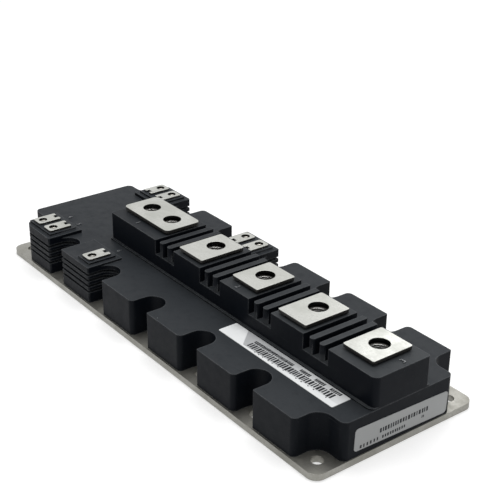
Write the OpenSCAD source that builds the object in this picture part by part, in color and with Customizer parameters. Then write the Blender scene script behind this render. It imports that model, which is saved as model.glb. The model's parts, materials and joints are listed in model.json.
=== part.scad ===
// IGBT half-bridge power module on a flat base plate.
// Millimetres, +Z up. Origin at the centre of the mounting face.
// X runs along the module, -Y is the side that carries the long label.

/* [Overall] */
// Length of the base plate
plate_l = 250; // [244:1:260]
// Width of the base plate
plate_w = 89; // [87:1:95]
// Thickness of the base plate
plate_t = 3; // [2.5:0.5:5]
// Height of the power terminals over the mounting face
height = 38; // [37:0.5:44]
// Corner radius of the base plate
plate_corner_r = 5; // [1:0.5:7]

/* [Mounting holes] */
// Diameter of the screw holes in the base plate
screw_d = 5.5; // [4:0.1:6.5]
// Distance from the plate edges to the screw holes
screw_inset = 8; // [7:0.5:9]
// Radius of the screw notches in the housing
notch_r = 6.5; // [5:0.1:7]
// Rounding where a screw notch meets the side of the housing
mouth_r = 2.4; // [1:0.1:3]
// The same rounding on the blocks with auxiliary terminals
aux_mouth_r = 0.8; // [0.4:0.1:1.5]
// The same rounding at each block's near corner towards -X and far corner towards +X
sharp_mouth_r = 0.6; // [0.4:0.1:1.5]
// The same rounding at the two corners beside the output terminal
left_mouth_r = 6.5; // [3:0.5:6.5]
// Rounding of the housing corners at both ends
end_corner_r = 3; // [1:0.5:4]

/* [Housing] */
// Base plate that shows past each end of the housing
end_ledge = 0.5; // [0.3:0.1:2]
// Base plate that shows past each side of the housing
side_ledge = 1; // [0.5:0.1:1.5]
// Height of the deck over the mounting face
deck_z = 21; // [20.5:0.5:24]
// Thickness of the deck
deck_t = 2; // [1.8:0.1:2.4]
// Thickness of the end walls
end_wall_t = 3; // [2:0.5:4]
// Thinnest wall between the screw notches and the room inside
room_wall_t = 2.4; // [1.8:0.1:3]
// Wall between a block pocket and the screw notch beside it
pocket_wall_t = 2.6; // [2:0.1:3.5]
// Rise of a block with one auxiliary terminal over the deck
single_rise = 1.1; // [0.8:0.1:1.4]
// Rise of a block with two auxiliary terminals over the deck
pair_rise = 1.8; // [1.4:0.1:2]
// Rise of the pads under the auxiliary terminals over their block
pad_rise = 1.1; // [0.9:0.1:1.4]

/* [Creepage grooves] */
// Height of the lowest groove over the mounting face
groove_z = 8.5; // [8:0.1:9]
// Spacing of the grooves
groove_pitch = 3; // [2.6:0.1:3.2]
// Width of a groove
groove_h = 1.3; // [0.8:0.1:1.6]
// Depth of a groove
groove_d = 1.2; // [0.6:0.1:1.4]
// Number of grooves
groove_count = 4; // [2:1:4]

/* [Terminal ridge] */
// Where the ridge starts along the module
ridge_x0 = -69.5; // [-71:0.5:-69.5]
// Width of the ridge
ridge_w = 30; // [29:0.5:32]
// Depth of the ridge top below the power terminals
ridge_drop = 2.4; // [2:0.1:3]
// Wall thickness of the ridge
ridge_wall = 2.2; // [1.8:0.1:2.6]
// Rounding of the near corner at the end of the ridge
ridge_corner_r = 3; // [1:0.5:5]
// Width of a groove between power terminals
gap_groove = 3.2; // [2.6:0.1:3.4]
// Width of a rib between power terminals
gap_rib = 3; // [2:0.1:3.2]
// Depth of the grooves between power terminals
gap_depth = 7.6; // [5:0.1:9]
// Width of the lip around the foot of the ridge
lip_w = 1.2; // [0.6:0.1:1.3]
// Height of the lip around the foot of the ridge
lip_h = 0.8; // [0.4:0.1:1.2]

/* [Power terminals] */
// Thickness of the power terminals
tab_t = 1.5; // [1:0.1:1.6]
// Diameter of the power terminal holes
tab_hole_d = 9; // [8.4:0.1:10]
// Offset of the power terminal holes from the middle of the module
tab_hole_y = 2; // [1:0.5:3]
// Far edge of all power terminals
tab_far_y = 11.8; // [11.5:0.1:12.1]
// Width of one direct current terminal
dc_w = 18.3; // [17:0.1:19]
// Near edge of the terminals of the first pole
dc_minus_near_y = -12.8; // [-13:0.1:-11]
// Near edge of the terminals of the second pole
dc_plus_near_y = -9.8; // [-11:0.1:-9]
// Position of the first terminal of the first pole
dc_minus_x = -2.9; // [-3.5:0.1:-2]
// Position of the first terminal of the second pole
dc_plus_x = 34.6; // [34:0.1:35]
// Spacing of the two terminals of one pole
dc_pitch = 73.8; // [73.5:0.1:74]
// Width of the output terminal
ac_w = 38.6; // [37:0.1:39]
// Middle of the output terminal
ac_x = -48.8; // [-49.2:0.1:-48.6]
// Near edge of the output terminal
ac_near_y = -8.2; // [-10:0.1:-8]
// Spacing of the two holes in the output terminal
ac_hole_pitch = 18; // [17:0.5:19]
// Corner radius of the direct current terminals
dc_corner_r = 1; // [0.5:0.1:2]
// Corner radius of the output terminal
ac_corner_r = 2.4; // [1:0.1:3]

/* [Auxiliary terminals] */
// Width of an auxiliary terminal
aux_w = 7.5; // [7:0.1:8]
// Thickness of an auxiliary terminal
aux_t = 1; // [0.8:0.1:1.2]
// Length of an auxiliary terminal outwards from its hole
aux_out = 3.8; // [3.2:0.1:4.2]
// Length of an auxiliary terminal inwards from its hole
aux_in = 8.5; // [8:0.1:9]
// Diameter of the auxiliary terminal holes
aux_hole_d = 4.4; // [4.2:0.1:4.6]
// Spacing of two auxiliary terminals in one block
aux_pitch = 11; // [10:0.1:11.4]

/* [Inside] */
// Gap between two ceramic substrates
sub_gap = 3; // [2.5:0.1:5]
// Gap between the ceramic substrates and the side walls
sub_edge_gap = 1.1; // [1:0.1:2]
// Thickness of a bus plate
bus_t = 1.2; // [1:0.1:1.2]
// Height of the silicone gel over the base plate
gel_h = 7.6; // [6:0.1:8]

/* [Labels] */
// Length of the label on the deck
deck_label_l = 75; // [70:1:78]
// Width of the label on the deck
deck_label_w = 10; // [8:0.1:10.2]
// Length of the label on the end
end_label_l = 51.5; // [48:0.5:52]
// Width of the label on the end
end_label_w = 10.4; // [9:0.1:10.8]

/* [Hidden] */
$fn = 64;
eps = 0.01;
over = 1;                       // how far a cutter reaches past a surface
blocks = 6;                     // blocks on each long side
pitch = (plate_l - 2 * screw_inset) / blocks;
hole_y = plate_w / 2 - screw_inset;
notch_in_y = hole_y - notch_r;  // inner end of the screw notches
half_block = pitch / 2 - notch_r;
housing_l = plate_l - 2 * end_ledge;
housing_w = plate_w - 2 * side_ledge;
ridge_top = height - ridge_drop;
ridge_x1 = housing_l / 2;
ridge_y = ridge_w / 2;
tab_z = height - tab_t;

// housing
room_x = housing_l / 2 - end_wall_t;
room_y = notch_in_y - room_wall_t;
room_top = deck_z - deck_t;
pocket_face_t = 2.8;            // wall between a block pocket and the side of the housing
pocket_out_y = housing_w / 2 - pocket_face_t;
pocket_in_y = notch_in_y + 1;
raised_in = 12.3;               // start of a raised block, inwards from the holes
pad_in = 10.2;                  // start of a pad, inwards from the holes
pad_out = 4.8;                  // end of a pad, outwards from the holes
pad_side = 1.5;                 // pad beside an auxiliary terminal
opening_end = 2.6;              // ridge wall over the deck at the ends of the opening
opening_side = 2.2;             // the same at its sides
opening_x0 = ridge_x0 + opening_end;
opening_x1 = ridge_x1 - opening_end - 0.9;
opening_y = ridge_y - opening_side;

// auxiliary terminals: block number and places in the block
near_aux = [[0, -0.5], [0, 0.5], [1, 0.5]];
far_aux = [[0, -0.5], [0, 0.5], [2, -0.5], [2, 0.5]];
// pads under them: block number, first and last place
near_pads = [[0, -0.5, 0.5], [1, 0.5, 0.5]];
far_pads = [[0, -0.5, 0.5], [2, -0.5, 0.5]];
aux_corner_r = 0.6;             // corners of an auxiliary tab at its fork
aux_end_r = 1.4;                // and at its other end
aux_leg_w = 2.6;
aux_fork_d = 3;
aux_fork_w = 2.8;
aux_leg_y = hole_y - aux_in + aux_fork_d;
aux_run_z = plate_t + 5;        // height of the run across the room
aux_foot_in = 2.5;              // foot of a terminal, inwards from the substrate edge

// M4 and M8 nuts
m4_d = 4;
m4_af = 7;
m4_h = 3.2;
m8_d = 8;
m8_af = 13;
m8_h = 6.5;
nut_play = 0.3;
nut_sink = 0.2;                 // nut below or above the plastic around it
m8_z = ridge_top - m8_h + nut_sink;

// ridge
gap_w = 3 * gap_groove + 2 * gap_rib;
gap_floor = ridge_top - gap_depth;
gap_side_t = 1.6;
gap_floor_t = 2;
boss_w = 19;
boss_t = 5;                     // boss under an M8 nut
boss_floor_t = 1.6;
boss_z = m8_z - boss_t;
top_t = 2.5;
ridge_r = [1, ridge_corner_r, 1, 1];
ac_x0 = ac_x - ac_w / 2;
ac_x1 = ac_x + ac_w / 2;
minus_x = [dc_minus_x, dc_minus_x + dc_pitch];
plus_x = [dc_plus_x, dc_plus_x + dc_pitch];
ac_holes = [ac_x - ac_hole_pitch / 2, ac_x + ac_hole_pitch / 2];
gap_shift = [-0.6, -0.4, -0.6, -0.6];   // grooves and ribs off the middle between two terminals
gap_mid = [(ac_x1 + minus_x[0] - dc_w / 2) / 2, (minus_x[0] + plus_x[0]) / 2,
           (plus_x[0] + minus_x[1]) / 2, (minus_x[1] + plus_x[1]) / 2];
gap_x = gap_mid + gap_shift;

// substrates, from the base plate up
solder_t = 0.2;
copper_t = 0.3;
ceramic_t = 0.6;
bottom_z = plate_t + solder_t;
ceramic_z = bottom_z + copper_t;
top_z = ceramic_z + ceramic_t;
chip_z = top_z + copper_t;
chip_t = 0.2;
ceramic_edge = 0.6;             // bare ceramic around the copper
sub_l = pitch - sub_gap;
sub_w = 2 * (room_y - sub_edge_gap);
// The layout below is drawn for one size of substrate and stretches to another
kx = sub_l / 36;
ky = sub_w / 53;
// near and far edge of every copper strip across a substrate
strips = ky * [[-25.9, -22.9], [-22.3, -13.2], [-12.6, -8.6], [-8, -3.4], [-2.8, 22.3], [22.9, 25.9]];
igbt_size = 8.6;
diode_size = 7;
igbt_at = [for (c = [[-11.2, -17.8], [-0.8, -17.8], [-11.2, 4.2], [-0.8, 4.2]]) [kx * c[0], ky * c[1]]];
diode_at = [for (c = [[7.5, -17.8], [7.5, 4.2], [-10, 17.8], [0.5, 17.8], [11, 17.8]]) [kx * c[0], ky * c[1]]];
thermistor_size = [3.2, 1.6, 0.9];
thermistor_x = 10;

// bus plates, from the top down
leg_w = 16;
leg_y0 = tab_far_y - tab_t;
slot_play = 0.3;
plate_gap = 1;                  // air over the upper bus plate
insulator_t = 1;
ac_gap = 1.8;                   // gel-free gap between the two lower bus plates
minus_z = room_top - plate_gap - bus_t;
insulator_z = minus_z - insulator_t;
plus_z = insulator_z - bus_t;
ac_bus_z = plus_z - ac_gap - bus_t;
bus_x0 = -room_x + 6.5;
bus_x1 = room_x - 3.5;
foot_t = 1.2;
foot_in = 0.6;                  // foot on its strip, inwards from the strip's near edge
// start and width of every foot along a substrate
minus_foot = [9 * kx, 6];
plus_foot = [-16.8 * kx, 3];
ac_foot = [-4 * kx, 8];
ac_foot2 = [12.5 * kx, 4];
ac_foot_y = strips[3][0] + foot_in;
minus_near_y = strips[2][0] + foot_in;
minus_far_y = 8.5;
plus_near_y = minus_near_y + foot_t + 1.8;
ac_near_bus_y = strips[1][1] - 2.8;
ac_far_bus_y = 6;
bus_edge = 1.5;                 // output plate past its outer feet
insulator_gap = 0.5;            // between the insulator and the straps
foot_play = 1;                  // around a foot that passes through the output plate
strap_play = 2;                 // between the output strap and the nearest feet
ac_leg_x0 = ac_x - 17.2;
ac_leg_x1 = min(ac_x + 10.8, block_x(2) + plus_foot[0] - strap_play);

// bond wires
wire_w = 0.4;
wire_rise = 1.3;
wire_foot = 0.7;
wire_step = 2;
wire_in = 1.9;                  // start of a wire, inwards from the edge of its chip
minus_land = strips[2][1] - 2.1;
ac_land = strips[3][1] - 1.1;

// gel, sealing and labels
gel_top = min(plate_t + gel_h, ac_bus_z - 1);
bead_w = 0.8;
bead_h = 1.2;
label_t = 0.2;
deck_label_r = 0.6;
deck_label_gap = 0.2;           // from the lip of the ridge
deck_label_end = 11.5;          // from the end of the housing
end_label_r = 1.6;
end_label_y = 1.4;
end_label_drop = 1.9;
end_label_tilt = -2;

function hole_x(i) = (i - blocks / 2) * pitch;
function block_x(i) = (i - (blocks - 1) / 2) * pitch;
function aux_x(a) = block_x(a[0]) + a[1] * aux_pitch;

// Outline of a box with its own radius at each corner: near left, near right, far right, far left
function arc(c, r, a0, n) = r < eps ? [c] : [for (k = [0:n]) c + r * [cos(a0 + 90 * k / n), sin(a0 + 90 * k / n)]];
function rounded(x0, y0, x1, y1, r, n = 6) = concat(
    arc([x0 + r[0], y0 + r[0]], r[0], 180, n),
    arc([x1 - r[1], y0 + r[1]], r[1], 270, n),
    arc([x1 - r[2], y1 - r[2]], r[2], 0, n),
    arc([x0 + r[3], y1 - r[3]], r[3], 90, n));

module box(x0, y0, z0, x1, y1, z1) {
    translate([x0, y0, z0]) cube([x1 - x0, y1 - y0, z1 - z0]);
}

module baseplate() {
    color([0.78, 0.77, 0.74])
    difference() {
        linear_extrude(height = plate_t)
            polygon(rounded(-plate_l / 2, -plate_w / 2, plate_l / 2, plate_w / 2,
                            plate_corner_r * [1, 1, 1, 1], 12));
        for (i = [0:blocks], s = [-1, 1])
            translate([hole_x(i), s * hole_y, -over]) cylinder(d = screw_d, h = plate_t + 2 * over);
    }
}

function has_aux(pads, b) = len([for (p = pads) if (p[0] == b) b]) > 0;
function mouth(pads, b) = has_aux(pads, b) ? aux_mouth_r : mouth_r;

// Rounding of the edge at x and +X of it; grow moves every wall into the housing
module mouth_cut(x, r, grow) {
    difference() {
        translate([x - eps, -plate_w / 2 - over]) square([r + eps, r + plate_w / 2 - housing_w / 2 + over]);
        translate([x + r, -housing_w / 2 + r]) circle(max(r - grow, eps));
    }
}

// A screw notch that opens towards -Y, with its middle at x = 0 and a mouth rounding on each side
module side_notch(r0, r1, grow) {
    translate([0, -hole_y]) circle(notch_r + grow);
    translate([-notch_r - grow, -plate_w / 2 - over]) square([2 * (notch_r + grow), screw_inset + over]);
    mirror([1, 0, 0]) mouth_cut(notch_r, r0, grow);
    mouth_cut(notch_r, r1, grow);
}

// The screw notch at the corner of -X and -Y
module corner_notch(r, grow) {
    x = hole_x(0);
    in_y = -hole_y + notch_r;
    end_x = -housing_l / 2 + end_corner_r;
    translate([x, -hole_y]) circle(notch_r + grow);
    translate([-plate_l / 2 - over, -plate_w / 2 - over])
        square([x + plate_l / 2 + over, in_y + grow + plate_w / 2 + over]);
    translate([x - eps, -plate_w / 2 - over]) square([notch_r + grow + eps, screw_inset + over]);
    mouth_cut(x + notch_r, r, grow);
    difference() {
        translate([-plate_l / 2 - over, in_y]) square([end_x + plate_l / 2 + over, end_corner_r]);
        translate([end_x, in_y + end_corner_r]) circle(max(end_corner_r - grow, eps));
    }
}

// Outline of the housing; grow moves its walls inwards
module housing_outline(grow = 0) {
    difference() {
        square([housing_l - 2 * grow, housing_w - 2 * grow], center = true);
        for (i = [1:blocks - 1]) translate([hole_x(i), 0]) {
            side_notch(mouth(near_pads, i - 1), sharp_mouth_r, grow);
            mirror([0, 1, 0]) side_notch(sharp_mouth_r, mouth(far_pads, i), grow);
        }
        for (my = [0, 1]) mirror([0, my, 0]) {
            corner_notch(left_mouth_r, grow);
            mirror([1, 0, 0]) corner_notch([mouth_r, sharp_mouth_r][my], grow);
        }
    }
}

// The room inside the frame, with the pockets of the blocks that hold auxiliary terminals
module room_outline() {
    square([2 * room_x, 2 * room_y], center = true);
    for (p = near_pads) aux_pocket(p[0], -1);
    for (p = far_pads) aux_pocket(p[0], 1);
}

module aux_pocket(i, side) {
    w = half_block - pocket_wall_t;
    translate([block_x(i) - w, side < 0 ? -pocket_out_y : room_y - over])
        square([2 * w, pocket_out_y - room_y + over]);
}

module plain_pocket(i, side) {
    w = half_block - pocket_wall_t;
    mirror([0, side < 0 ? 1 : 0, 0])
        box(block_x(i) - w, pocket_in_y, plate_t - over, block_x(i) + w, pocket_out_y, room_top);
}

// Creepage grooves around the blocks from one screw hole to another
module groove_ring(i0, i1, side) {
    difference() {
        mirror([0, side > 0 ? 1 : 0, 0]) translate([hole_x(i0), -plate_w / 2 - over])
            square([hole_x(i1) - hole_x(i0), plate_w / 2 + over - notch_in_y + groove_d]);
        housing_outline(groove_d);
    }
}

module grooves() {
    for (p = near_pads) groove_ring(p[0], p[0] + 1, -1);
    for (p = far_pads) groove_ring(p[0], p[0] + 1, 1);
}

function rise(p) = p[1] == p[2] ? single_rise : pair_rise;
function pad_z(p) = deck_z + rise(p) + pad_rise;
// Height of the pad under terminal a, and of the nut in it
function aux_z(a, side) = [for (p = side < 0 ? near_pads : far_pads) if (p[0] == a[0]) pad_z(p)][0];
function m4_z(a, side) = aux_z(a, side) - m4_h - nut_sink;

// Raised top of a block that carries auxiliary terminals
module raised_block(p, side) {
    translate([0, 0, deck_z - eps]) linear_extrude(height = rise(p) + eps)
        intersection() {
            housing_outline();
            mirror([0, side < 0 ? 1 : 0, 0])
                translate([block_x(p[0]) - half_block, hole_y - raised_in]) square([2 * half_block, housing_w / 2]);
        }
}

module aux_pad(p, side) {
    x0 = block_x(p[0]) + p[1] * aux_pitch - aux_w / 2 - pad_side;
    x1 = block_x(p[0]) + p[2] * aux_pitch + aux_w / 2 + pad_side;
    mirror([0, side < 0 ? 1 : 0, 0]) box(x0, hole_y - pad_in, deck_z - eps, x1, hole_y + pad_out, pad_z(p));
}

module aux_pad_cuts(a, side) {
    x = aux_x(a);
    w = aux_leg_w / 2 + nut_play;
    mirror([0, side < 0 ? 1 : 0, 0]) {
        translate([x, hole_y, m4_z(a, side)]) cylinder(d = (m4_af + nut_play) / cos(30), h = m4_h + over, $fn = 6);
        translate([x, hole_y, room_top - over]) cylinder(d = aux_hole_d, h = m4_h + 2 * over);
        box(x - w, aux_leg_y - aux_t - nut_play, room_top - over, x + w, aux_leg_y + nut_play, aux_z(a, side) + over);
    }
}

module housing_frame() {
    color([0.32, 0.34, 0.36])
    difference() {
        union() {
            translate([0, 0, plate_t]) linear_extrude(height = deck_z - plate_t) housing_outline();
            for (p = near_pads) raised_block(p, -1);
            for (p = far_pads) raised_block(p, 1);
            for (p = near_pads) aux_pad(p, -1);
            for (p = far_pads) aux_pad(p, 1);
        }
        translate([0, 0, plate_t - over]) linear_extrude(height = room_top - plate_t + over) room_outline();
        for (i = [0:blocks - 1]) if (!has_aux(near_pads, i)) plain_pocket(i, -1);
        for (i = [0:blocks - 1]) if (!has_aux(far_pads, i)) plain_pocket(i, 1);
        box(opening_x0, -opening_y, room_top - over, opening_x1, opening_y, deck_z + over);
        for (k = [0:groove_count - 1]) translate([0, 0, groove_z + k * groove_pitch])
            linear_extrude(height = groove_h) grooves();
        for (a = near_aux) aux_pad_cuts(a, -1);
        for (a = far_aux) aux_pad_cuts(a, 1);
    }
}

module gap_cut(x) {
    box(x - gap_w / 2, -ridge_y - over, gap_floor, x + gap_w / 2, ridge_y + over, ridge_top + over);
}

module gap_ribs(x) {
    for (s = [-1, 1]) {
        c = x + s * (gap_groove + gap_rib) / 2;
        box(c - gap_rib / 2, -ridge_y + gap_rib / 2, gap_floor - eps, c + gap_rib / 2, ridge_y, ridge_top);
        translate([c, -ridge_y + gap_rib / 2, gap_floor - eps]) cylinder(d = gap_rib, h = gap_depth + eps);
    }
}

module nut_pocket(x) {
    translate([x, tab_hole_y, m8_z])
        cylinder(d = (m8_af + nut_play) / cos(30), h = ridge_top - m8_z + over, $fn = 6);
    translate([x, tab_hole_y, boss_z + boss_floor_t]) cylinder(d = tab_hole_d, h = boss_t);
}

module leg_slot(x0, x1) {
    box(x0 - slot_play, leg_y0 - slot_play, deck_z - over, x1 + slot_play, tab_far_y + slot_play, ridge_top + over);
}

module ridge_room() {
    difference() {
        box(ridge_x0 + ridge_wall, -ridge_y + ridge_wall, deck_z - over,
            ridge_x1 - ridge_wall, ridge_y - ridge_wall, ridge_top - top_t);
        for (x = gap_x)
            box(x - gap_w / 2 - gap_side_t, -ridge_y, gap_floor - gap_floor_t,
                x + gap_w / 2 + gap_side_t, ridge_y, ridge_top);
        for (x = concat(minus_x, plus_x))
            box(x - boss_w / 2, -ridge_y, boss_z, x + boss_w / 2, leg_y0 - slot_play, ridge_top);
        box(ac_holes[0] - boss_w / 2, -ridge_y, boss_z, ac_holes[1] + boss_w / 2, leg_y0 - slot_play, ridge_top);
    }
}

module terminal_cover() {
    color([0.34, 0.36, 0.38])
    union() {
        difference() {
            union() {
                translate([0, 0, deck_z]) linear_extrude(height = ridge_top - deck_z)
                    polygon(rounded(ridge_x0, -ridge_y, ridge_x1, ridge_y, ridge_r));
                translate([0, 0, deck_z]) linear_extrude(height = lip_h)
                    polygon(rounded(ridge_x0, -ridge_y - lip_w, ridge_x1, ridge_y + lip_w, ridge_r));
            }
            ridge_room();
            for (x = gap_x) gap_cut(x);
            for (x = concat(minus_x, plus_x, ac_holes)) nut_pocket(x);
            for (x = concat(minus_x, plus_x)) leg_slot(x - leg_w / 2, x + leg_w / 2);
            leg_slot(ac_leg_x0, ac_leg_x1);
        }
        for (x = gap_x) gap_ribs(x);
    }
}

module power_tab(x0, x1, near_y, r, holes) {
    translate([0, 0, tab_z]) difference() {
        linear_extrude(height = tab_t) polygon(rounded(x0, near_y, x1, tab_far_y, r * [1, 1, 1, 1]));
        for (x = holes) translate([x, tab_hole_y, -over]) cylinder(d = tab_hole_d, h = tab_t + 2 * over);
    }
}

// Strap that stands on a bus plate, up through the ridge to its tab
module power_leg(x0, x1, z) {
    box(x0, leg_y0, z, x1, tab_far_y, tab_z + eps);
}

// A strap from a bus plate down to the copper of a substrate
module foot(x, w, y, z) {
    box(x, y, chip_z, x + w, y + foot_t, z + eps);
}

module ac_terminal() {
    color([0.86, 0.86, 0.83])
    union() {
        power_tab(ac_x0, ac_x1, ac_near_y, ac_corner_r, ac_holes);
        power_leg(ac_leg_x0, ac_leg_x1, ac_bus_z + bus_t);
    }
}

module dc_minus_terminals() {
    color([0.86, 0.86, 0.83])
    for (x = minus_x) {
        power_tab(x - dc_w / 2, x + dc_w / 2, dc_minus_near_y, dc_corner_r, [x]);
        power_leg(x - leg_w / 2, x + leg_w / 2, minus_z + bus_t);
    }
}

module dc_plus_terminals() {
    color([0.86, 0.86, 0.83])
    for (x = plus_x) {
        power_tab(x - dc_w / 2, x + dc_w / 2, dc_plus_near_y, dc_corner_r, [x]);
        power_leg(x - leg_w / 2, x + leg_w / 2, plus_z + bus_t);
    }
}

module ac_bus_plate() {
    color([0.8, 0.55, 0.4])
    union() {
        box(ac_leg_x0, ac_far_bus_y - over, ac_bus_z, ac_leg_x1, tab_far_y, ac_bus_z + bus_t);
        difference() {
            box(block_x(0) + ac_foot[0] - bus_edge, ac_near_bus_y, ac_bus_z,
                block_x(blocks - 1) + ac_foot2[0] + ac_foot2[1] + bus_edge, ac_far_bus_y, ac_bus_z + bus_t);
            for (i = [0:blocks - 1])
                box(block_x(i) + minus_foot[0] - foot_play, minus_near_y - foot_play, ac_bus_z - over,
                    block_x(i) + minus_foot[0] + minus_foot[1] + foot_play, minus_near_y + foot_t + foot_play,
                    ac_bus_z + bus_t + over);
        }
        for (i = [0:blocks - 1]) {
            foot(block_x(i) + ac_foot[0], ac_foot[1], ac_foot_y, ac_bus_z);
            foot(block_x(i) + ac_foot2[0], ac_foot2[1], ac_near_bus_y, ac_bus_z);
        }
    }
}

module dc_minus_bus_plate() {
    color([0.8, 0.55, 0.4])
    union() {
        for (x = minus_x)
            box(x - leg_w / 2, minus_far_y - over, minus_z, x + leg_w / 2, tab_far_y, minus_z + bus_t);
        box(bus_x0, minus_near_y, minus_z, bus_x1, minus_far_y, minus_z + bus_t);
        for (i = [0:blocks - 1])
            foot(block_x(i) + minus_foot[0], minus_foot[1], minus_near_y, minus_z);
    }
}

module dc_plus_bus_plate() {
    color([0.8, 0.55, 0.4])
    union() {
        difference() {
            box(bus_x0, plus_near_y, plus_z, bus_x1, tab_far_y, plus_z + bus_t);
            box(ac_leg_x0 - foot_play, leg_y0 - foot_play, plus_z - over,
                ac_leg_x1 + foot_play, tab_far_y + over, plus_z + bus_t + over);
        }
        for (i = [0:blocks - 1])
            foot(block_x(i) + plus_foot[0], plus_foot[1], tab_far_y - foot_t, plus_z);
    }
}

module bus_plate_insulator() {
    color([0.93, 0.9, 0.8])
    box(bus_x0 - over, minus_near_y + foot_t + foot_in, insulator_z,
        bus_x1 + over, leg_y0 - insulator_gap, insulator_z + insulator_t);
}

module hex_nut(af, h, bore) {
    difference() {
        cylinder(d = af / cos(30), h = h, $fn = 6);
        translate([0, 0, -over]) cylinder(d = bore, h = h + 2 * over);
    }
}

module power_nuts() {
    color([0.8, 0.8, 0.78])
    for (x = concat(ac_holes, minus_x, plus_x))
        translate([x, tab_hole_y, m8_z]) hex_nut(m8_af, m8_h, m8_d);
}

module aux_nuts() {
    color([0.8, 0.8, 0.78]) {
        for (a = near_aux) translate([aux_x(a), -hole_y, m4_z(a, -1)]) hex_nut(m4_af, m4_h, m4_d);
        for (a = far_aux) translate([aux_x(a), hole_y, m4_z(a, 1)]) hex_nut(m4_af, m4_h, m4_d);
    }
}

// Forked tab on its pad, with a strap down into the frame and a foot on a substrate
module aux_terminal(a, side) {
    lap = 0.5;                  // strap under the tab
    foot_y = sub_w / 2 - aux_foot_in;
    z = aux_z(a, side);
    color([0.88, 0.88, 0.85])
    translate([aux_x(a), 0, 0]) mirror([0, side < 0 ? 1 : 0, 0]) union() {
        translate([0, 0, z]) difference() {
            linear_extrude(height = aux_t) difference() {
                polygon(rounded(-aux_w / 2, hole_y - aux_in, aux_w / 2, hole_y + aux_out,
                                [aux_corner_r, aux_corner_r, aux_end_r, aux_end_r], 4));
                translate([-aux_fork_w / 2, hole_y - aux_in - over]) square([aux_fork_w, aux_fork_d + over]);
            }
            translate([0, hole_y, -over]) cylinder(d = aux_hole_d, h = aux_t + 2 * over);
        }
        translate([-aux_leg_w / 2, 0, 0]) rotate([90, 0, 90]) linear_extrude(height = aux_leg_w)
            polygon([[aux_leg_y + lap, z], [aux_leg_y, z], [aux_leg_y, aux_run_z],
                     [foot_y + aux_t, aux_run_z], [foot_y + aux_t, chip_z], [foot_y, chip_z],
                     [foot_y, aux_run_z + aux_t], [aux_leg_y - aux_t, aux_run_z + aux_t],
                     [aux_leg_y - aux_t, z + aux_t], [aux_leg_y + lap, z + aux_t]]);
    }
}

module aux_near_1() { aux_terminal(near_aux[0], -1); }
module aux_near_2() { aux_terminal(near_aux[1], -1); }
module aux_near_3() { aux_terminal(near_aux[2], -1); }
module aux_far_1() { aux_terminal(far_aux[0], 1); }
module aux_far_2() { aux_terminal(far_aux[1], 1); }
module aux_far_3() { aux_terminal(far_aux[2], 1); }
module aux_far_4() { aux_terminal(far_aux[3], 1); }

// One slab on every substrate, set in from its edge
module sub_slabs(edge, z, t) {
    for (i = [0:blocks - 1])
        box(block_x(i) - sub_l / 2 + edge, -sub_w / 2 + edge, z,
            block_x(i) + sub_l / 2 - edge, sub_w / 2 - edge, z + t);
}

module substrate_solder() { color([0.6, 0.6, 0.62]) sub_slabs(ceramic_edge, plate_t, solder_t); }
module substrate_bottom_copper() { color([0.8, 0.5, 0.3]) sub_slabs(ceramic_edge, bottom_z, copper_t); }
module substrate_ceramic() { color([0.92, 0.92, 0.9]) sub_slabs(0, ceramic_z, ceramic_t); }

module substrate_top_copper() {
    color([0.8, 0.5, 0.3])
    for (i = [0:blocks - 1], s = strips)
        box(block_x(i) - sub_l / 2 + ceramic_edge, s[0], top_z,
            block_x(i) + sub_l / 2 - ceramic_edge, s[1], chip_z);
}

module chips(places, size) {
    for (i = [0:blocks - 1], c = places)
        translate([block_x(i) + c[0] - size / 2, c[1] - size / 2, chip_z]) cube([size, size, chip_t]);
}

module igbt_chips() { color([0.25, 0.27, 0.32]) chips(igbt_at, igbt_size); }
module diode_chips() { color([0.35, 0.36, 0.4]) chips(diode_at, diode_size); }

// A flat arch of wire from one surface to another, along Y
module wire(x, y0, z0, y1, z1) {
    s = y1 > y0 ? 1 : -1;
    ym = (y0 + y1) / 2;
    zp = max(z0, z1) + wire_rise;
    translate([x - wire_w / 2, 0, 0]) rotate([90, 0, 90]) linear_extrude(height = wire_w)
        polygon([[y0 - s * wire_foot, z0], [y0, z0], [ym, zp], [y1, z1], [y1 + s * wire_foot, z1],
                 [y1 + s * wire_foot, z1 + wire_w], [y1, z1 + wire_w], [ym, zp + wire_w],
                 [y0, z0 + wire_w], [y0 - s * wire_foot, z0 + wire_w]]);
}

module bond_wires() {
    chip_top = chip_z + chip_t;
    igbt_out = igbt_size / 2 - wire_in;
    diode_out = diode_size / 2 - wire_in;
    color([0.85, 0.85, 0.86])
    for (i = [0:blocks - 1]) translate([block_x(i), 0, 0]) {
        for (c = [igbt_at[0], igbt_at[1], diode_at[0] - [1.1, 0]], k = [-1:1])
            wire(c[0] + k * wire_step, c[1] + igbt_out, chip_top, minus_land, chip_z);
        for (c = [igbt_at[2], igbt_at[3], diode_at[1]], k = [-1:1])
            wire(c[0] + k * wire_step, c[1] - igbt_out, chip_top, ac_land, chip_z);
        // from the far row of diodes to the chips beside them
        for (j = [0:2], k = [-0.5, 0.5]) {
            to = [igbt_at[2], igbt_at[3], diode_at[1]][j];
            x = (to[0] + diode_at[j + 2][0]) / 2;
            wire(x + k * wire_step, diode_at[j + 2][1] - diode_out, chip_top, to[1] + diode_out + 1.3, chip_top);
        }
    }
}

module thermistor() {
    color([0.2, 0.2, 0.2])
    translate([block_x(1) + thermistor_x, (strips[0][0] + strips[0][1] - thermistor_size[1]) / 2, chip_z])
        cube(thermistor_size);
}

module seal_bead() {
    color([0.85, 0.85, 0.8])
    translate([0, 0, plate_t]) linear_extrude(height = bead_h) difference() {
        square([2 * room_x, 2 * room_y], center = true);
        square([2 * (room_x - bead_w), 2 * (room_y - bead_w)], center = true);
    }
}

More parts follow.
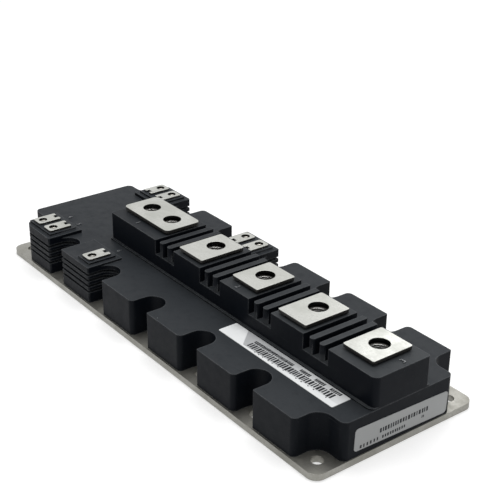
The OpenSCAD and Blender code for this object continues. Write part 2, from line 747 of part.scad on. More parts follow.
module silicone_gel() {
    color([0.8, 0.85, 0.85, 0.4])
    difference() {
        translate([0, 0, plate_t]) linear_extrude(height = gel_top - plate_t) room_outline();
        substrate_solder();
        substrate_bottom_copper();
        substrate_ceramic();
        substrate_top_copper();
        igbt_chips();
        diode_chips();
        bond_wires();
        thermistor();
        seal_bead();
        aux_near_1();
        aux_near_2();
        aux_near_3();
        aux_far_1();
        aux_far_2();
        aux_far_3();
        aux_far_4();
        for (i = [0:blocks - 1]) {
            foot(block_x(i) + ac_foot[0], ac_foot[1], ac_foot_y, ac_bus_z);
            foot(block_x(i) + ac_foot2[0], ac_foot2[1], ac_near_bus_y, ac_bus_z);
            foot(block_x(i) + minus_foot[0], minus_foot[1], minus_near_y, minus_z);
            foot(block_x(i) + plus_foot[0], plus_foot[1], tab_far_y - foot_t, plus_z);
        }
    }
}

module deck_label() {
    y1 = -ridge_y - lip_w - deck_label_gap;
    x1 = housing_l / 2 - deck_label_end;
    color([0.8, 0.81, 0.82])
    translate([0, 0, deck_z]) linear_extrude(height = label_t)
        polygon(rounded(x1 - deck_label_l, y1 - deck_label_w, x1, y1, deck_label_r * [1, 1, 1, 1], 3));
}

module end_label() {
    color([0.72, 0.73, 0.74])
    translate([housing_l / 2, end_label_y, (plate_t + deck_z) / 2 - end_label_drop])
        rotate([end_label_tilt, 0, 0]) rotate([90, 0, 90]) linear_extrude(height = label_t)
            polygon(rounded(-end_label_l / 2, -end_label_w / 2, end_label_l / 2, end_label_w / 2,
                            end_label_r * [1, 1, 1, 1], 5));
}

baseplate();
housing_frame();
terminal_cover();
ac_terminal();
dc_minus_terminals();
dc_plus_terminals();
ac_bus_plate();
dc_minus_bus_plate();
dc_plus_bus_plate();
bus_plate_insulator();
power_nuts();
aux_nuts();
aux_near_1();
aux_near_2();
aux_near_3();
aux_far_1();
aux_far_2();
aux_far_3();
aux_far_4();
substrate_solder();
substrate_bottom_copper();
substrate_ceramic();
substrate_top_copper();
igbt_chips();
diode_chips();
bond_wires();
thermistor();
silicone_gel();
seal_bead();
deck_label();
end_label();
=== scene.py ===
import json
import math
import random

import bmesh
import bpy
from mathutils import Matrix, Vector


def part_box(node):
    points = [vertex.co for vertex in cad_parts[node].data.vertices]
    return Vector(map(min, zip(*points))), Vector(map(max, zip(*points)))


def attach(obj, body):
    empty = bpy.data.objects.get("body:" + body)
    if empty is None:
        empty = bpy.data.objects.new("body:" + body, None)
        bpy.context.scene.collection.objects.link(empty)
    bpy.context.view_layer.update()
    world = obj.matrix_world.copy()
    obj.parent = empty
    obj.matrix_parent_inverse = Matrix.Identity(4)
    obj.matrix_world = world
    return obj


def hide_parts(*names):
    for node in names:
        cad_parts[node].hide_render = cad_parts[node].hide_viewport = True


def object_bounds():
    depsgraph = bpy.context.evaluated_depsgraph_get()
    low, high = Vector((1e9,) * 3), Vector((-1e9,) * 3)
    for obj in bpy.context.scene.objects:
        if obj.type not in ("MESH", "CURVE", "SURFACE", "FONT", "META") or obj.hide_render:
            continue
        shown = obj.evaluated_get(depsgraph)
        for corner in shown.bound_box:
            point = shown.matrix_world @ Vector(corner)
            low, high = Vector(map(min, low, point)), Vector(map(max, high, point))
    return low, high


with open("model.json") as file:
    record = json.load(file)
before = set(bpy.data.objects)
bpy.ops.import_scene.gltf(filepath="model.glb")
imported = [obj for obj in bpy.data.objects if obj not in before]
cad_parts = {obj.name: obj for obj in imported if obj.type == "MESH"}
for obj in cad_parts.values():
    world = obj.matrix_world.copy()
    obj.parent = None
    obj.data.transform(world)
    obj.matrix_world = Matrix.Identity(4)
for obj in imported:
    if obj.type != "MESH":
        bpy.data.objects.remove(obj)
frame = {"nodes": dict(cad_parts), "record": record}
CAD_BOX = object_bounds()
NODES = frame["nodes"]
MM = 0.001
SCENE = bpy.context.scene
random.seed(11)


# ---------------------------------------------------------------- node trees
class Tree:
    """A small wrapper around a node tree, which it empties first."""

    def __init__(self, tree):
        self.tree = tree
        self.tree.nodes.clear()

    def add(self, kind, **values):
        n = self.tree.nodes.new(kind)
        for k, v in values.items():
            setattr(n, k, v)
        return n

    def link(self, a, b):
        self.tree.links.new(a, b)

    def put(self, socket, value):
        """Link value to the socket if it is a socket, or set it there if it is a number or a colour."""
        if isinstance(value, bpy.types.NodeSocket):
            self.link(value, socket)
        elif isinstance(value, tuple):
            socket.default_value = (*value, 1)
        else:
            socket.default_value = value

    def remap(self, value, a, b, c=0.0, d=1.0):
        """Value from a to b turned into c to d, and held at the ends."""
        n = self.add("ShaderNodeMapRange", clamp=True)
        self.put(n.inputs["Value"], value)
        for k, v in zip(("From Min", "From Max", "To Min", "To Max"), (a, b, c, d)):
            n.inputs[k].default_value = v
        return n.outputs["Result"]

    def math(self, op, a, b=0.0, clamp=False):
        n = self.add("ShaderNodeMath", operation=op, use_clamp=clamp)
        self.put(n.inputs[0], a)
        self.put(n.inputs[1], b)
        return n.outputs[0]

    def seen(self):
        """1 for what the camera sees, straight, in a mirror or through glass, and 0 for other light."""
        path = self.add("ShaderNodeLightPath").outputs
        direct = self.math("MAXIMUM", path["Is Camera Ray"], path["Is Glossy Ray"])
        return self.math("MAXIMUM", direct, path["Is Transmission Ray"])


class Mat(Tree):
    """A material with one principled shader."""

    SOCKETS = {"color": "Base Color", "metallic": "Metallic", "roughness": "Roughness", "ior": "IOR",
               "transmission": "Transmission Weight", "normal": "Normal", "specular": "Specular IOR Level"}

    def __init__(self, name):
        self.mat = bpy.data.materials.new(name)
        self.mat.use_nodes = True
        super().__init__(self.mat.node_tree)
        self.out = self.add("ShaderNodeOutputMaterial")
        self.bsdf = self.add("ShaderNodeBsdfPrincipled")
        self.link(self.bsdf.outputs[0], self.out.inputs["Surface"])
        self.coord = self.add("ShaderNodeTexCoord").outputs["Object"]

    def set(self, **values):
        for k, v in values.items():
            self.put(self.bsdf.inputs[self.SOCKETS[k]], v)
        return self

    def mapped(self, scale, rotation=(0, 0, 0)):
        m = self.add("ShaderNodeMapping")
        self.link(self.coord, m.inputs["Vector"])
        m.inputs["Scale"].default_value = scale
        m.inputs["Rotation"].default_value = rotation
        return m.outputs[0]

    def axes(self, vector):
        """The x, y and z of a vector."""
        n = self.add("ShaderNodeSeparateXYZ")
        self.link(vector, n.inputs[0])
        return n.outputs

    def noise(self, scale, detail=2.0, rough=0.5, vector=None, distortion=0.0):
        n = self.add("ShaderNodeTexNoise")
        self.link(vector or self.coord, n.inputs["Vector"])
        n.inputs["Scale"].default_value = scale
        n.inputs["Detail"].default_value = detail
        n.inputs["Roughness"].default_value = rough
        n.inputs["Distortion"].default_value = distortion
        return n.outputs["Fac"]

    def cells(self, scale):
        """Distance from the middle of the nearest of many scattered cells."""
        n = self.add("ShaderNodeTexVoronoi", feature="F1")
        self.link(self.coord, n.inputs["Vector"])
        n.inputs["Scale"].default_value = scale
        return n.outputs["Distance"]

    def mix(self, fac, a, b):
        n = self.add("ShaderNodeMix", data_type="RGBA", blend_type="MIX")
        self.put(n.inputs["Factor"], fac)
        for k, v in (("A", a), ("B", b)):
            self.put([s for s in n.inputs if s.name == k and s.type == "RGBA"][0], v)
        return [s for s in n.outputs if s.type == "RGBA"][0]

    def bump(self, height, strength, distance, normal=None):
        n = self.add("ShaderNodeBump")
        self.put(n.inputs["Height"], height)
        n.inputs["Strength"].default_value = strength
        n.inputs["Distance"].default_value = distance
        if normal is not None:
            self.link(normal, n.inputs["Normal"])
        return n.outputs[0]

    def edges(self, radius, gain):
        """Up to 1 within radius of an edge, and 0 on flat faces."""
        bevel = self.add("ShaderNodeBevel", samples=4)
        bevel.inputs["Radius"].default_value = radius
        surface = self.add("ShaderNodeNewGeometry")
        dot = self.add("ShaderNodeVectorMath", operation="DOT_PRODUCT")
        self.link(bevel.outputs[0], dot.inputs[0])
        self.link(surface.outputs["Normal"], dot.inputs[1])
        return self.math("MULTIPLY", self.math("SUBTRACT", 1.0, dot.outputs["Value"]), gain, clamp=True)


# ---------------------------------------------------------------- materials
# the next colour makes edges and scuffs paler: real wear, and on the edges also a painted highlight
WORN_AND_HIGHLIT_PLASTIC = (0.100, 0.106, 0.112)
PALE_DUST = (0.16, 0.16, 0.16)
PALE_SPECK = (0.30, 0.31, 0.32)
PLASTIC_SPECULAR = 0.066
PRINT_LEAN = 0.038   # turn of the print against the deck label, as a slope
FIELD_SLANT = 0.88   # slant of the line where the print field starts


def shaded(color, share):
    return tuple(c * share for c in color)


def moulded_plastic(name, dark, light, top_light_color, thin):
    """Black moulded plastic. Faces that look up are painted lighter in the colour after light, a painted
    highlight of the light from above, whose share grows along X from thin to 1 as a painted light
    gradient."""
    m = Mat(name)
    cloud = m.noise(16, 4, 0.6, distortion=0.4)
    mottle = m.noise(260, 3, 0.6)
    grit = m.noise(2600, 2, 0.6)
    base = m.mix(m.remap(cloud, 0.35, 0.68), dark, light)
    base = m.mix(m.math("MULTIPLY", m.remap(mottle, 0.45, 0.75), 0.35), base, light)

    # painted top light: faces that look up are made paler, more so towards +X, in place of light from
    # above
    upward = m.remap(m.axes(m.add("ShaderNodeNewGeometry").outputs["Normal"])[2], 0.75, 0.98)
    share = m.math("MULTIPLY", m.remap(cloud, 0.3, 0.7, 0.82, 1.0),
                   m.remap(m.axes(m.coord)[0], CAD_BOX[0].x, CAD_BOX[1].x, thin, 1.0))
    base = m.mix(m.math("MULTIPLY", upward, share), base, top_light_color)
    base = m.mix(m.math("MULTIPLY", upward, m.remap(mottle, 0.5, 0.8, 0.0, 0.25)), base, light)

    # edges made paler: partly wear, partly a painted highlight along the top edges
    wear_and_edge_highlight = m.math("MULTIPLY", m.edges(0.7 * MM, 14.0), m.remap(m.noise(420, 3), 0.3, 0.62, 0.35, 1.0))
    base = m.mix(m.math("MULTIPLY", wear_and_edge_highlight, 0.75), base, WORN_AND_HIGHLIT_PLASTIC)
    dust = m.remap(m.cells(900), 0.0, 0.075, 1.0, 0.0)
    dust = m.math("MULTIPLY", dust, m.remap(m.noise(55, 2), 0.55, 0.7))
    base = m.mix(m.math("MULTIPLY", dust, 0.30), base, PALE_DUST)
    specks = m.math("MULTIPLY", m.remap(m.cells(62), 0.010, 0.018, 1.0, 0.0), upward)
    base = m.mix(m.math("MULTIPLY", specks, 0.8), base, PALE_SPECK)
    streak = m.noise(1, 4, 0.6, m.mapped((55, 900, 900), (0, 0, 0.35)))
    scuff = m.math("MULTIPLY", m.remap(streak, 0.63, 0.72), m.remap(cloud, 0.5, 0.6))
    base = m.mix(m.math("MULTIPLY", scuff, 0.18), base, WORN_AND_HIGHLIT_PLASTIC)

    rough = m.math("ADD", m.remap(mottle, 0.3, 0.7, 0.40, 0.52), m.math("MULTIPLY", scuff, 0.08))
    normal = m.bump(grit, 0.30, 0.03 * MM)
    normal = m.bump(mottle, 0.18, 0.06 * MM, normal)
    return m.set(color=base, roughness=rough, normal=normal, specular=PLASTIC_SPECULAR).mat


def plated_metal(name, color, dull, stain, rough=(0.26, 0.40), along=(40, 1600, 1600), depth=0.02,
                 edge_color=None, edge_share=0.35):
    """Plated metal with clouds, stains and fine lines. along is the scale of the lines on X, Y and Z,
    and depth is how deep they are, in millimetres."""
    m = Mat(name)
    cloud = m.noise(70, 4, 0.6, distortion=0.6)
    fine = m.noise(900, 3, 0.6)
    lines = m.noise(1, 3, 0.7, m.mapped(along))
    base = m.mix(m.remap(cloud, 0.36, 0.66), color, dull)
    base = m.mix(m.math("MULTIPLY", m.remap(fine, 0.42, 0.66), 0.5), base, dull)
    spots = m.math("MULTIPLY", m.remap(m.cells(330), 0.0, 0.14, 1.0, 0.0),
                   m.remap(m.noise(120, 2), 0.5, 0.62))
    base = m.mix(m.math("MULTIPLY", spots, 0.6), base, stain)
    base = m.mix(m.math("MULTIPLY", m.remap(lines, 0.52, 0.74), 0.45), base, dull)
    # edges turn towards edge_color; where that colour is pale, on nut threads and tab sides, it is a
    # painted highlight
    base = m.mix(m.math("MULTIPLY", m.edges(0.2 * MM, 6.0), edge_share), base, edge_color or dull)
    roughness = m.math("ADD", m.remap(cloud, 0.3, 0.7, *rough), m.remap(fine, 0.3, 0.7, -0.03, 0.05))
    normal = m.bump(lines, 0.25, depth * MM)
    normal = m.bump(fine, 0.12, 0.02 * MM, normal)
    return m.set(color=base, metallic=1.0, roughness=roughness, normal=normal).mat


def plain_solid(name, color, second, roughness, scale=120, metallic=0.0, bump=0.1, **more):
    """A plain material that wanders between two colours, in patches of the size that scale gives."""
    m = Mat(name)
    patches = m.noise(scale, 4, 0.6)
    fine = m.noise(scale * 14, 2, 0.5)
    base = m.mix(m.remap(patches, 0.35, 0.65), color, second)
    rough = m.remap(fine, 0.3, 0.7, roughness - 0.05, roughness + 0.08)
    normal = m.bump(fine, bump, 0.03 * MM)
    return m.set(color=base, roughness=rough, metallic=metallic, normal=normal, **more).mat


def label_film(name, grey, bright=None, field=None, strip=None):
    """Grey film. If field gives a start and an end along X, the grey is a print field on bright film.
    The field starts on a slanted line and grows paler to its end. The film stays bright below strip, a Y
    at the start that leans with the print."""
    m = Mat(name)
    x, y, _ = m.axes(m.coord)
    fade = m.noise(60, 3, 0.6)
    fibre = m.noise(1500, 3, 0.6)
    base = grey
    if field:
        along = m.math("ADD", x, m.math("MULTIPLY", y, FIELD_SLANT))
        along = m.math("SUBTRACT", along, strip * FIELD_SLANT)
        pale = tuple(0.7 * a + 0.3 * b for a, b in zip(bright, grey))
        base = m.mix(m.remap(along, *field), grey, pale)
        inside = m.remap(along, field[0] - 0.3 * MM, field[0] + 0.3 * MM)
        lean = m.math("MULTIPLY", m.math("SUBTRACT", x, field[0]), PRINT_LEAN)
        across = m.math("SUBTRACT", m.math("SUBTRACT", y, strip), lean)
        inside = m.math("MULTIPLY", inside, m.remap(across, -0.25 * MM, 0.25 * MM))
        base = m.mix(inside, bright, base)
    base = m.mix(m.math("MULTIPLY", m.remap(fade, 0.4, 0.7), 0.2), base, shaded(grey, 0.86))
    base = m.mix(m.math("MULTIPLY", m.edges(0.4 * MM, 4.0), 0.5), base, shaded(grey, 0.7))
    rough = m.remap(fade, 0.3, 0.7, 0.34, 0.5)
    return m.set(color=base, roughness=rough, normal=m.bump(fibre, 0.12, 0.02 * MM)).mat


# the fourth value of each plastic is the colour of its painted top light, and the fifth its share at -X
PLASTIC = moulded_plastic("housing_plastic", (0.0030, 0.0042, 0.0070), (0.0062, 0.0078, 0.0105),
                          (0.0315, 0.0352, 0.0395), 0.74)
COVER = moulded_plastic("cover_plastic", (0.0026, 0.0038, 0.0068), (0.0055, 0.0070, 0.0098),
                        (0.0460, 0.0505, 0.0545), 0.10)
NICKEL = plated_metal("nickel_tab", (0.575, 0.58, 0.55), (0.42, 0.425, 0.395), (0.20, 0.18, 0.15))
# tab sides: darker as sheared edges and darkened further as painted shade, with a painted highlight along
# their edges
SHEARED_AND_SHADED = plated_metal("sheared_and_shaded_tab_side", (0.080, 0.079, 0.076), (0.045, 0.044, 0.042),
                       (0.05, 0.042, 0.034), rough=(0.4, 0.55), along=(900, 900, 60),
                       edge_color=(0.30, 0.30, 0.285), edge_share=0.5)
PLATE = plated_metal("nickel_plate", (0.33, 0.325, 0.30), (0.25, 0.245, 0.22), (0.15, 0.135, 0.115),
                     rough=(0.34, 0.5), along=(30, 700, 700), depth=0.04)
# the pale edge colour of the nuts is a painted highlight, glints on the thread edges
NUT_SURFACE_AND_GLINTS = {"rough": (0.22, 0.36), "along": (900, 900, 300), "edge_color": (0.72, 0.72, 0.70)}
# power nuts darkened nearly black as painted shade deep in the terminal holes
SHADED_ZINC = plated_metal("zinc_nut", (0.070, 0.068, 0.064), (0.045, 0.043, 0.040), (0.04, 0.028, 0.02),
                    edge_share=0.95, **NUT_SURFACE_AND_GLINTS)
AUX_ZINC = plated_metal("bright_zinc_nut", (0.34, 0.33, 0.30), (0.22, 0.21, 0.19), (0.10, 0.08, 0.06),
                        edge_share=0.8, **NUT_SURFACE_AND_GLINTS)
# hole walls painted nearly black: painted shade inside the terminal holes
SHADED_HOLE_WALL = plated_metal("shaded_tab_hole_wall", (0.055, 0.055, 0.053), (0.035, 0.035, 0.034), (0.025, 0.02, 0.018))
INSIDE = {
    "insulator": plain_solid("insulator_sheet", (0.86, 0.82, 0.70), (0.78, 0.73, 0.6), 0.45, 90),
    "solder": plain_solid("solder_grey", (0.52, 0.52, 0.54), (0.42, 0.42, 0.44), 0.5, 220, 1.0),
    "copper": plain_solid("bare_copper", (0.86, 0.46, 0.28), (0.70, 0.34, 0.20), 0.33, 130, 1.0),
    "ceramic": plain_solid("white_ceramic", (0.88, 0.88, 0.85), (0.82, 0.82, 0.8), 0.4, 300),
    "chip": plain_solid("chip_metal", (0.52, 0.53, 0.56), (0.40, 0.41, 0.46), 0.25, 500, 0.8),
    "wire": plain_solid("aluminium_wire", (0.88, 0.88, 0.89), (0.78, 0.78, 0.8), 0.28, 700, 1.0),
    "thermistor": plain_solid("thermistor_dark", (0.06, 0.06, 0.06), (0.1, 0.1, 0.1), 0.5, 900),
    "gel": plain_solid("clear_gel", (0.90, 0.95, 0.94), (0.86, 0.92, 0.9), 0.08, 60, 0.0, 0.05,
                       transmission=1.0, ior=1.41),
    "seal": plain_solid("seal_white", (0.78, 0.78, 0.74), (0.7, 0.7, 0.66), 0.55, 260),
}


def dress(obj, mat):
    obj.data.materials.clear()
    obj.data.materials.append(mat)


# ---------------------------------------------------------------- rounded pieces
SAME_POINT = 1e-6                  # points closer than this become one
FLAT_WITHIN = math.radians(0.5)    # faces that meet flatter than this become one
EDGE_FROM = math.radians(40)       # edges sharper than this are rounded
SHADE_SHARP_FROM = 35              # degrees; edges sharper than this are shaded sharp
NUT_SHARP_FROM = 30
ROUNDING_SEGMENTS = 2
OUTSIDE_FROM_Z = 3.5 * MM          # edges at the foot of the frame lie below this and stay sharp


def mesh_object(name, bm, mat, sharp_from=SHADE_SHARP_FROM):
    bm.normal_update()
    me = bpy.data.meshes.new(name)
    bm.to_mesh(me)
    bm.free()
    o = bpy.data.objects.new(name, me)
    SCENE.collection.objects.link(o)
    me.materials.append(mat)
    me.shade_smooth()
    me.set_sharp_from_angle(angle=math.radians(sharp_from))
    return o


def rounded_copy(node, name, mat, radius, keep=None):
    """A copy of a CAD node with its outer edges rounded, or those of them that keep picks. It stands for
    that node."""
    bm = bmesh.new()
    bm.from_mesh(NODES[node].data)
    bmesh.ops.remove_doubles(bm, verts=bm.verts, dist=SAME_POINT)
    bmesh.ops.dissolve_limit(bm, angle_limit=FLAT_WITHIN, verts=bm.verts, edges=bm.edges)
    edges = [e for e in bm.edges if e.is_manifold and e.is_convex
             and e.calc_face_angle(0) > EDGE_FROM and (keep is None or keep(e))]
    bmesh.ops.bevel(bm, geom=edges, offset=radius, offset_type="OFFSET", segments=ROUNDING_SEGMENTS,
                    profile=0.5, affect="EDGES", clamp_overlap=True, miter_outer="ARC")
    bmesh.ops.remove_doubles(bm, verts=bm.verts, dist=SAME_POINT)
    o = mesh_object(name, bm, mat)
    w = o.modifiers.new("normals", "WEIGHTED_NORMAL")
    w.keep_sharp = True
    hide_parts(node)
    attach(o, "root")
    return o


def outer(e):
    """True for an edge of the frame that shows from outside."""
    return max(v.co.z for v in e.verts) > OUTSIDE_FROM_Z


rounded_copy("housing_frame", "housing_shell", PLASTIC, 0.28 * MM, keep=outer)
rounded_copy("terminal_cover", "ridge_cover", COVER, 0.32 * MM)
rounded_copy("baseplate", "base_plate", PLATE, 0.25 * MM)

# ---------------------------------------------------------------- nuts and terminals
# Width across flats, bore and thread pitch of each nut. Sides of a terminal that lie within the reach
# of a nut's axis are the walls of its hole, which are painted dark as painted shade.
M8_NUT = (12.98 * MM, 8.0 * MM, 1.25 * MM)
M8_REACH = 5.2 * MM
M4_NUT = (6.98 * MM, 4.0 * MM, 0.7 * MM)
M4_REACH = 2.7 * MM
NUT_TURN = math.pi / 6
NUT_CHAMFER = 0.042    # share of the width across flats
NUT_FACE = 0.97        # radius of the end faces, as a share of the distance from the axis to a flat
AROUND = 48            # steps around a nut
RINGS_PER_THREAD = 6
THREAD_DEPTH = 0.54    # this and the next two are shares of the thread pitch
BORE_FLARE = 0.15
BORE_LEAD = 0.3
POWER_ROUNDING = 0.16 * MM
AUX_ROUNDING = 0.10 * MM


def threaded_nut(bm, centre, low, high, across, bore, thread):
    """A hexagon nut with chamfered corners and a threaded bore."""
    height = high - low
    rings = max(10, int(height / thread * RINGS_PER_THREAD))
    apothem = across / 2
    chamfer = NUT_CHAMFER * across
    lead = BORE_LEAD * thread
    circle = 2 * math.pi

    def hexagon(t):
        a = (t - NUT_TURN) % (math.pi / 3) - math.pi / 6
        return apothem / math.cos(a)

    def end_face(t):
        return min(hexagon(t), apothem * NUT_FACE)

    def flare(t):
        return bore / 2 + BORE_FLARE * thread

    def ring(r_of, z):
        return [bm.verts.new((centre[0] + r_of(t) * math.cos(t), centre[1] + r_of(t) * math.sin(t), z))
                for t in (circle * k / AROUND for k in range(AROUND))]

    def join(a, b):
        for k in range(AROUND):
            bm.faces.new((a[k], a[(k + 1) % AROUND], b[(k + 1) % AROUND], b[k]))

    loops = [ring(end_face, low), ring(hexagon, low + chamfer), ring(hexagon, high - chamfer),
             ring(end_face, high), ring(flare, high)]
    for k in range(rings + 1):
        z = high - lead - (height - 2 * lead) * k / rings
        loops.append(ring(lambda t: bore / 2 - THREAD_DEPTH * thread
                          * abs(2 * ((z / thread - t / circle) % 1) - 1), z))
    loops.append(ring(flare, low))
    for a, b in zip(loops, loops[1:]):
        join(a, b)
    join(loops[-1], loops[0])


def solids(node):
    """The middle in X and Y, the bottom and the top of every solid of a CAD node."""
    bm = bmesh.new()
    bm.from_mesh(NODES[node].data)
    bmesh.ops.remove_doubles(bm, verts=bm.verts, dist=SAME_POINT)
    seen, found = set(), []
    for v in bm.verts:
        if v in seen:
            continue
        group, todo = [], [v]
        seen.add(v)
        while todo:
            p = todo.pop()
            group.append(p.co.copy())
            for e in p.link_edges:
                q = e.other_vert(p)
                if q not in seen:
                    seen.add(q)
                    todo.append(q)
        lo = [min(c[i] for c in group) for i in range(3)]
        hi = [max(c[i] for c in group) for i in range(3)]
        found.append(((lo[0] + hi[0]) / 2, (lo[1] + hi[1]) / 2, lo[2], hi[2]))
    bm.free()
    return sorted(found)


def nuts(node, name, mat, size):
    """One threaded nut for every solid of a CAD node of nuts. Returns their axes."""
    places = solids(node)
    bm = bmesh.new()
    for cx, cy, low, high in places:
        threaded_nut(bm, (cx, cy), low, high, *size)
    bmesh.ops.recalc_face_normals(bm, faces=bm.faces)
    o = mesh_object(name, bm, mat, NUT_SHARP_FROM)
    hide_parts(node)
    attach(o, "root")
    return [Vector((cx, cy, 0)) for cx, cy, *_ in places]


def terminal(node, name, radius, holes, reach):
    """A rounded metal terminal whose sides are darkened as sheared edges and as painted shade, and whose
    hole walls, which lie within reach of the axes in holes, are painted dark as painted shade."""
    o = rounded_copy(node, name, NICKEL, radius)
    o.data.materials.append(SHEARED_AND_SHADED)
    o.data.materials.append(SHADED_HOLE_WALL)
    for f in o.data.polygons:
        if abs(f.normal.z) < 0.5:
            flat = Vector((f.center.x, f.center.y, 0))
            f.material_index = 2 if min((flat - h).length for h in holes) < reach else 1


m8_axes = nuts("power_nuts", "m8_nuts", SHADED_ZINC, M8_NUT)
m4_axes = nuts("aux_nuts", "m4_nuts", AUX_ZINC, M4_NUT)
terminal("ac_terminal", "output_terminal", POWER_ROUNDING, m8_axes, M8_REACH)
terminal("dc_minus_terminals", "first_pole_terminals", POWER_ROUNDING, m8_axes, M8_REACH)
terminal("dc_plus_terminals", "second_pole_terminals", POWER_ROUNDING, m8_axes, M8_REACH)
for node in [n for n in NODES if n.startswith(("aux_near_", "aux_far_"))]:
    terminal(node, node + "_tab", AUX_ROUNDING, m4_axes, M4_REACH)

# ---------------------------------------------------------------- moulded numbers
# the raised numbers are moulded in the black housing plastic; their pale grey is a painted highlight
HIGHLIT_EMBOSS = plain_solid("moulded_number", (0.150, 0.158, 0.165), (0.050, 0.054, 0.060), 0.30, 700,
                     specular=0.5)
FONT_SIZE = 1.4       # font size over the height of a digit
DIGIT_EXTRUDE = 0.22 * MM
DIGIT_BEVEL = 0.05 * MM
DIGIT_LIFT = 0.1 * MM


def numbers(name, rows):
    """Small raised numbers: (text, x, y, z, height, turn) in millimetres and degrees."""
    bm = bmesh.new()
    for text, x, y, z, height, turn in rows:
        cu = bpy.data.curves.new("digits", "FONT")
        cu.body = text
        cu.size = height * FONT_SIZE * MM
        cu.extrude = DIGIT_EXTRUDE
        cu.bevel_depth = DIGIT_BEVEL
        cu.align_x, cu.align_y = "CENTER", "CENTER"
        o = bpy.data.objects.new("digits", cu)
        SCENE.collection.objects.link(o)
        bpy.context.view_layer.update()
        me = bpy.data.meshes.new_from_object(o.evaluated_get(bpy.context.evaluated_depsgraph_get()))
        place = Matrix.Translation((x * MM, y * MM, z * MM + DIGIT_LIFT))
        me.transform(place @ Matrix.Rotation(math.radians(turn), 4, "Z"))
        bm.from_mesh(me)
        bpy.data.objects.remove(o)
        bpy.data.meshes.remove(me)
        bpy.data.curves.remove(cu)
    o = mesh_object(name, bm, HIGHLIT_EMBOSS)
    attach(o, "root")


ridge_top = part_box("terminal_cover")[1].z / MM
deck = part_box("deck_label")[0].z / MM
numbers("moulded_numbers", [
    ("1", -50.5, -11.2, ridge_top, 2.6, 0),
    ("2", 32.9, -12.2, ridge_top, 2.6, 0),
    ("3", 121.2, 2.7, ridge_top, 2.8, 90),
    ("4", -104.8, -19.8, deck, 2.4, 0),
    ("5", -94.3, -20.4, deck, 2.4, 0),
    ("6", -54.6, -20.2, deck, 2.4, 0),
])

# ---------------------------------------------------------------- labels
INK = plain_solid("label_ink", (0.010, 0.011, 0.013), (0.030, 0.032, 0.036), 0.5, 400, specular=0.2)
PRINT_START = 18           # where the print on the deck label starts, in millimetres from its -X end
PRINT_LIFT = 0.01 * MM
FIELD_START = 16.4 * MM    # where the grey field behind that print starts, from the same end
FIELD_STRIP = 1.0 * MM     # bright strip between the field and the -Y edge, where the field starts
label_lo, label_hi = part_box("deck_label")
end_lo, end_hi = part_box("end_label")
LABEL_TOP = label_film("deck_label_film", (0.45, 0.46, 0.47), (0.87, 0.885, 0.89),
                       (label_lo.x + FIELD_START, label_hi.x), label_lo.y + FIELD_STRIP)
LABEL_END = label_film("end_label_film", (0.40, 0.41, 0.41))


def printed(name, place, rows):
    """Rows of plain marks. Each row gives its start and end, its bottom and top, the widths and gaps
    that it draws from, how ragged its lower ends are, and its share of marks. place turns (u, v) in
    millimetres into a point."""
    bm = bmesh.new()
    for u, u1, v0, v1, widths, gaps, ragged, fill in rows:
        while u < u1:
            w = random.uniform(*widths)
            if random.random() < fill:
                a = v0 + random.uniform(0, ragged) * (v1 - v0)
                corners = (u, a), (u + w, a), (u + w, v1), (u, v1)
                bm.faces.new([bm.verts.new(place(*q)) for q in corners])
            u += w + random.uniform(*gaps)
    o = mesh_object(name, bm, INK)
    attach(o, "root")


def on_deck_label(u, v):
    """A point of the deck label's print, which leans a little against the label."""
    lean = PRINT_LEAN * (u - PRINT_START)
    return label_lo.x + (u - PRINT_LEAN * v) * MM, label_lo.y + (v + lean) * MM, label_hi.z + PRINT_LIFT


def on_end_label(u, v):
    """A point of the end label's print."""
    return end_hi.x + PRINT_LIFT, end_lo.y + u * MM, end_lo.z + v * MM


TEXT_LINE = (5.5, 7.45, (0.6, 1.0), (0.16, 0.28), 0.15, 1.0)
WORDS = [(PRINT_START, 42), (47, 53), (56, 62), (65, 70.6)]
printed("deck_label_print", on_deck_label, [(start, end, *TEXT_LINE) for start, end in WORDS] + [
    (PRINT_START, 70, 1.3, 5.1, (0.6, 1.35), (0.30, 0.62), 0.16, 0.98),
    (24, 69, 0.6, 1.15, (0.5, 0.9), (1.6, 3.4), 0.2, 0.85),
])
printed("end_label_print", on_end_label, [
    (13.5, 40.5, 5.2, 7.4, (0.6, 1.2), (0.4, 0.7), 0.12, 0.95),
    (3, 12.5, 2.1, 3.8, (0.7, 1.1), (0.8, 1.1), 0.12, 1.0),
    (15, 28, 2.1, 3.6, (0.5, 0.95), (0.35, 0.6), 0.12, 0.95),
    (37, 38.6, 2.8, 4.0, (0.4, 0.6), (0.3, 0.4), 0.0, 1.0),
])

# ---------------------------------------------------------------- what keeps its CAD shape
dress(NODES["deck_label"], LABEL_TOP)
dress(NODES["end_label"], LABEL_END)
for row in frame["record"]["subparts"]:
    if row["material_slot"] in INSIDE:
        dress(NODES[row["node"]], INSIDE[row["material_slot"]])

# ---------------------------------------------------------------- floor, background, light
FLOOR_SIZE = 6.0
FLOOR_DROP = 0.3 * MM
FLOOR_GLOW = 0.48    # light that the floor adds to what the camera sees
SKY_LIGHT = 0.42     # strength of the background as a light; the camera sees it at 1
WHITE = (1, 1, 1)


def pale_floor():
    """Pale floor that keeps the shadow."""
    m = Mat("pale_floor")
    grain = m.remap(m.noise(30, 3), 0.3, 0.7)
    m.set(color=m.mix(grain, (0.62, 0.62, 0.62), (0.64, 0.64, 0.64)), roughness=0.9, specular=0.1)
    glow = m.add("ShaderNodeEmission")
    m.put(glow.inputs["Color"], WHITE)
    m.put(glow.inputs["Strength"], m.math("MULTIPLY", m.seen(), FLOOR_GLOW))
    both = m.add("ShaderNodeAddShader")
    m.link(m.bsdf.outputs[0], both.inputs[0])
    m.link(glow.outputs[0], both.inputs[1])
    m.link(both.outputs[0], m.out.inputs["Surface"])
    bm = bmesh.new()
    bmesh.ops.create_grid(bm, x_segments=4, y_segments=4, size=FLOOR_SIZE)
    floor = mesh_object("floor", bm, m.mat)
    floor.location.z = CAD_BOX[0].z - FLOOR_DROP


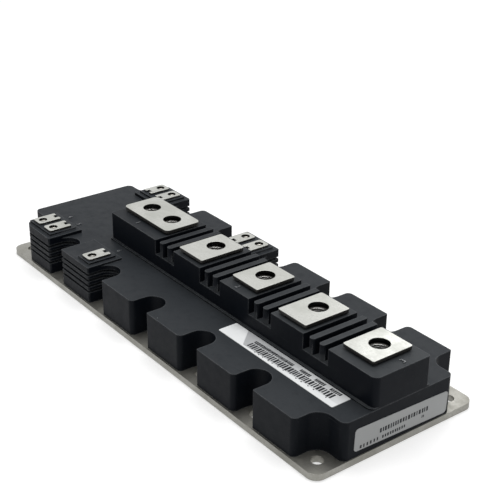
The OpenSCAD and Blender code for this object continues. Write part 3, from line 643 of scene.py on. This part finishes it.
def white_world():
    """White background for the camera, metal and glass, and soft light on everything else."""
    world = bpy.data.worlds.new("studio")
    SCENE.world = world
    world.use_nodes = True
    t = Tree(world.node_tree)
    sky = t.add("ShaderNodeBackground")
    t.put(sky.inputs["Color"], WHITE)
    t.put(sky.inputs["Strength"], t.remap(t.seen(), 0.0, 1.0, SKY_LIGHT, 1.0))
    t.link(sky.outputs[0], t.add("ShaderNodeOutputWorld").inputs["Surface"])


def softbox(name, place, aim, size, watts):
    light = bpy.data.lights.new(name, "AREA")
    light.shape = "RECTANGLE"
    light.size, light.size_y = size
    light.energy = watts
    o = bpy.data.objects.new(name, light)
    SCENE.collection.objects.link(o)
    o.location = place
    o.rotation_mode = "QUATERNION"
    o.rotation_quaternion = (Vector(aim) - Vector(place)).to_track_quat("-Z", "Y")


pale_floor()
white_world()
softbox("overhead", (-0.05, 0.12, 1.10), (0, 0, 0.02), (1.0, 0.8), 9.5)
softbox("far_side", (-0.30, 0.60, 0.52), (0.10, 0, 0.02), (0.25, 0.2), 0.5)

# ---------------------------------------------------------------- camera
CAMERA_PLACE = (0.3804, -0.2760, 0.2660)
AZIMUTH, ELEVATION, ROLL = math.radians(52.11), math.radians(25.93), math.radians(0.81)

camera_data = bpy.data.cameras.new("camera")
camera_data.sensor_width = 36.0
camera_data.lens = 80.4
camera_data.clip_start, camera_data.clip_end = 0.02, 50.0
camera = bpy.data.objects.new("camera", camera_data)
SCENE.collection.objects.link(camera)
back = Vector((math.sin(AZIMUTH) * math.cos(ELEVATION), -math.cos(AZIMUTH) * math.cos(ELEVATION),
               math.sin(ELEVATION)))
right = Vector((math.cos(AZIMUTH), math.sin(AZIMUTH), 0))
up = back.cross(right)
right, up = (right * math.cos(ROLL) + up * math.sin(ROLL), up * math.cos(ROLL) - right * math.sin(ROLL))
camera.matrix_world = Matrix.Translation(CAMERA_PLACE) @ Matrix((right, up, back)).transposed().to_4x4()
SCENE.camera = camera
SCENE.view_settings.view_transform = "Standard"
